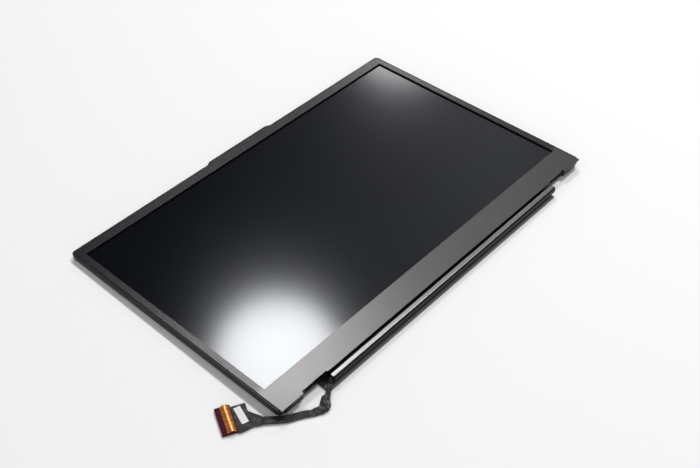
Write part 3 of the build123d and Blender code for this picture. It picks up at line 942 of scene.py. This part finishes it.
@dataclass
class Studio:
    """Floor, lamps, world and camera."""

    floor_size: float = 16.0
    rail_edge_y: float = -105.6 * MM
    cover_top_y: float = 117.1 * MM
    back_height: float = 2.4 * MM
    # Painted light falloff: the floor's colour goes from a lighter near shade to a darker far shade.
    floor_near_lit: Colour = (0.91, 0.91, 0.915)
    floor_far_shaded: Colour = (0.78, 0.78, 0.785)
    floor_light_fade: Span = (-0.5, 0.9)
    floor_cloud: float = 0.6
    floor_cloud_share: float = 0.1
    floor_roughness: float = 0.9
    far_glow: Span = (1.7, 4.5)
    far_glow_colour: Colour = (0.7, 0.7, 0.705)
    lamps: tuple[Lamp, ...] = (
        Lamp("main_lamp", (0.0, 0.0, 0.0), (0.49, 0.0, 0.872), size=0.5, power=57.0),
        Lamp("glint_lamp", (-0.13, -0.075, 0.008), (0.4153, 0.484, 0.7702), size=0.501, power=33.0),
        Lamp("back_lamp", (0.17, 0.105, 0.008), (0.6582, 0.5381, 0.5266), size=0.436, power=6.96),
    )
    screen_side: Point = (0.744, -0.668, 0.0)
    screen_start: Span = (-0.107, 0.36)
    screen_end: Span = (0.2, 0.36)
    screen_foot: Span = (0.302, 0.422)
    screen_head: Span = (0.911, 1.011)
    screen_light: float = 1.6
    fill_side: Point = (-0.92, -0.39, 0.0)
    fill_start: Span = (0.0, 0.5)
    fill_light: float = 0.62
    horizon: Span = (0.22, 0.38)
    horizon_light: float = 0.25
    skyline: Span = (0.08, 0.2)
    skyline_light: float = 0.6
    room_light: float = 0.06
    room_colour: Colour = (0.985, 0.99, 1.0)
    camera_place: Vector = Vector((-0.46428, -0.44275, 0.58421))
    camera_look: Vector = Vector((0.53170, 0.49357, -0.68825))
    camera_right: Vector = Vector((0.67333, -0.73928, -0.00930))
    focal_length: float = 54.287
    sensor_width: float = 36.0

    def build(self) -> None:
        """Set up the whole studio."""
        self._floor()
        for lamp in self.lamps:
            lamp.build()
        self._world()
        self._camera()
        bpy.context.scene.view_settings.view_transform = "Standard"
        LOG.info("studio built with %d lamps", len(self.lamps))

    def _floor(self) -> None:
        """Lay the floor against the two lines that the lid rests on."""
        mesh = bmesh.new()
        bmesh.ops.create_grid(mesh, x_segments=1, y_segments=1, size=self.floor_size / 2)
        slope = atan2(self.back_height, self.cover_top_y - self.rail_edge_y)
        tilt = Matrix.Translation((0, self.rail_edge_y, 0)) @ Matrix.Rotation(slope, 4, "X")
        bmesh.ops.transform(mesh, matrix=tilt, verts=mesh.verts)
        data = bpy.data.meshes.new("floor")
        mesh.to_mesh(data)
        mesh.free()
        floor = bpy.data.objects.new("floor", data)
        bpy.context.scene.collection.objects.link(floor)
        data.materials.append(self._paint())

    def _paint(self) -> bpy.types.Material:
        """Return the floor's pale paint, darker towards the far side as painted light falloff, with a
        painted glow far from the part.
        """
        shader = Shader(bpy.data.materials.new("floor"))
        cloud = shader.speckle(self.floor_cloud, seed=1.0)
        # painted light falloff: darker along Y towards the far side
        far = shader.along("Y").spread(*self.floor_light_fade)
        shade = far * (1 - self.floor_cloud_share) + cloud * self.floor_cloud_share
        # painted glow: the floor far from the part emits a pale grey, though it is no lamp
        far_glow = shader.away((0.0, 0.0, 0.0)).spread(*self.far_glow)
        return shader.finish(
            Base_Color=shader.blend(shade, self.floor_near_lit, self.floor_far_shaded),
            Roughness=self.floor_roughness,
            Specular_IOR_Level=0.0,
            Emission_Color=shader.blend(far_glow, (0.0, 0.0, 0.0), self.far_glow_colour),
            Emission_Strength=1.0,
        )

    def _world(self) -> None:
        """Light a dim room with a soft screen at the right, a fill at the left and a pale horizon."""
        world = bpy.data.worlds.new("studio")
        bpy.context.scene.world = world
        shader = Shader(world)
        heading = shader.node("ShaderNodeTexCoord", output="Generated")
        height = shader.node("ShaderNodeSeparateXYZ", inputs={0: heading}, output="Z")
        side = self._facing(shader, heading, self.screen_side)
        wide = side.spread(*self.screen_start) * (1 - side.spread(*self.screen_end))
        tall = height.spread(*self.screen_foot) * (1 - height.spread(*self.screen_head))
        screen = wide * tall * self.screen_light
        fill = self._facing(shader, heading, self.fill_side).spread(*self.fill_start) * self.fill_light
        edge = (1 - height.spread(*self.skyline)) * self.skyline_light
        low = (1 - height.spread(*self.horizon)) * self.horizon_light
        light = screen + fill + edge + low + self.room_light
        inputs = {"Color": (*self.room_colour, 1.0), "Strength": light}
        background = shader.node("ShaderNodeBackground", inputs=inputs)
        shader.node("ShaderNodeOutputWorld", inputs={"Surface": background})

    @staticmethod
    def _facing(shader: Shader, heading: Socket, side: Point) -> Socket:
        """Return how far a direction points to one side, from -1 to 1."""
        inputs = {0: heading, 1: side}
        return shader.node("ShaderNodeVectorMath", {"operation": "DOT_PRODUCT"}, inputs, output="Value")

    def _camera(self) -> None:
        """Set the camera where the photograph was taken from."""
        data = bpy.data.cameras.new("camera")
        data.lens = self.focal_length
        data.sensor_width = self.sensor_width
        data.sensor_fit = "HORIZONTAL"
        back = -self.camera_look.normalized()
        right = (self.camera_right - back * self.camera_right.dot(back)).normalized()
        turn = Matrix((right, back.cross(right), back)).transposed().to_4x4()
        camera = bpy.data.objects.new("camera", data)
        camera.matrix_world = Matrix.Translation(self.camera_place) @ turn
        bpy.context.scene.collection.objects.link(camera)
        bpy.context.scene.camera = camera


def main() -> None:
    """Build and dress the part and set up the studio."""
    logging.basicConfig(level=logging.INFO, format="%(message)s")
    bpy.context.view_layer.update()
    Studio().build()
    cable = FreeCable()
    cable.dress(cable.build())
    Shell().dress()
    DisplayModule().dress()
    CameraStrip().dress()
    HeldWiring().dress()


if __name__ == "__main__":
    main()
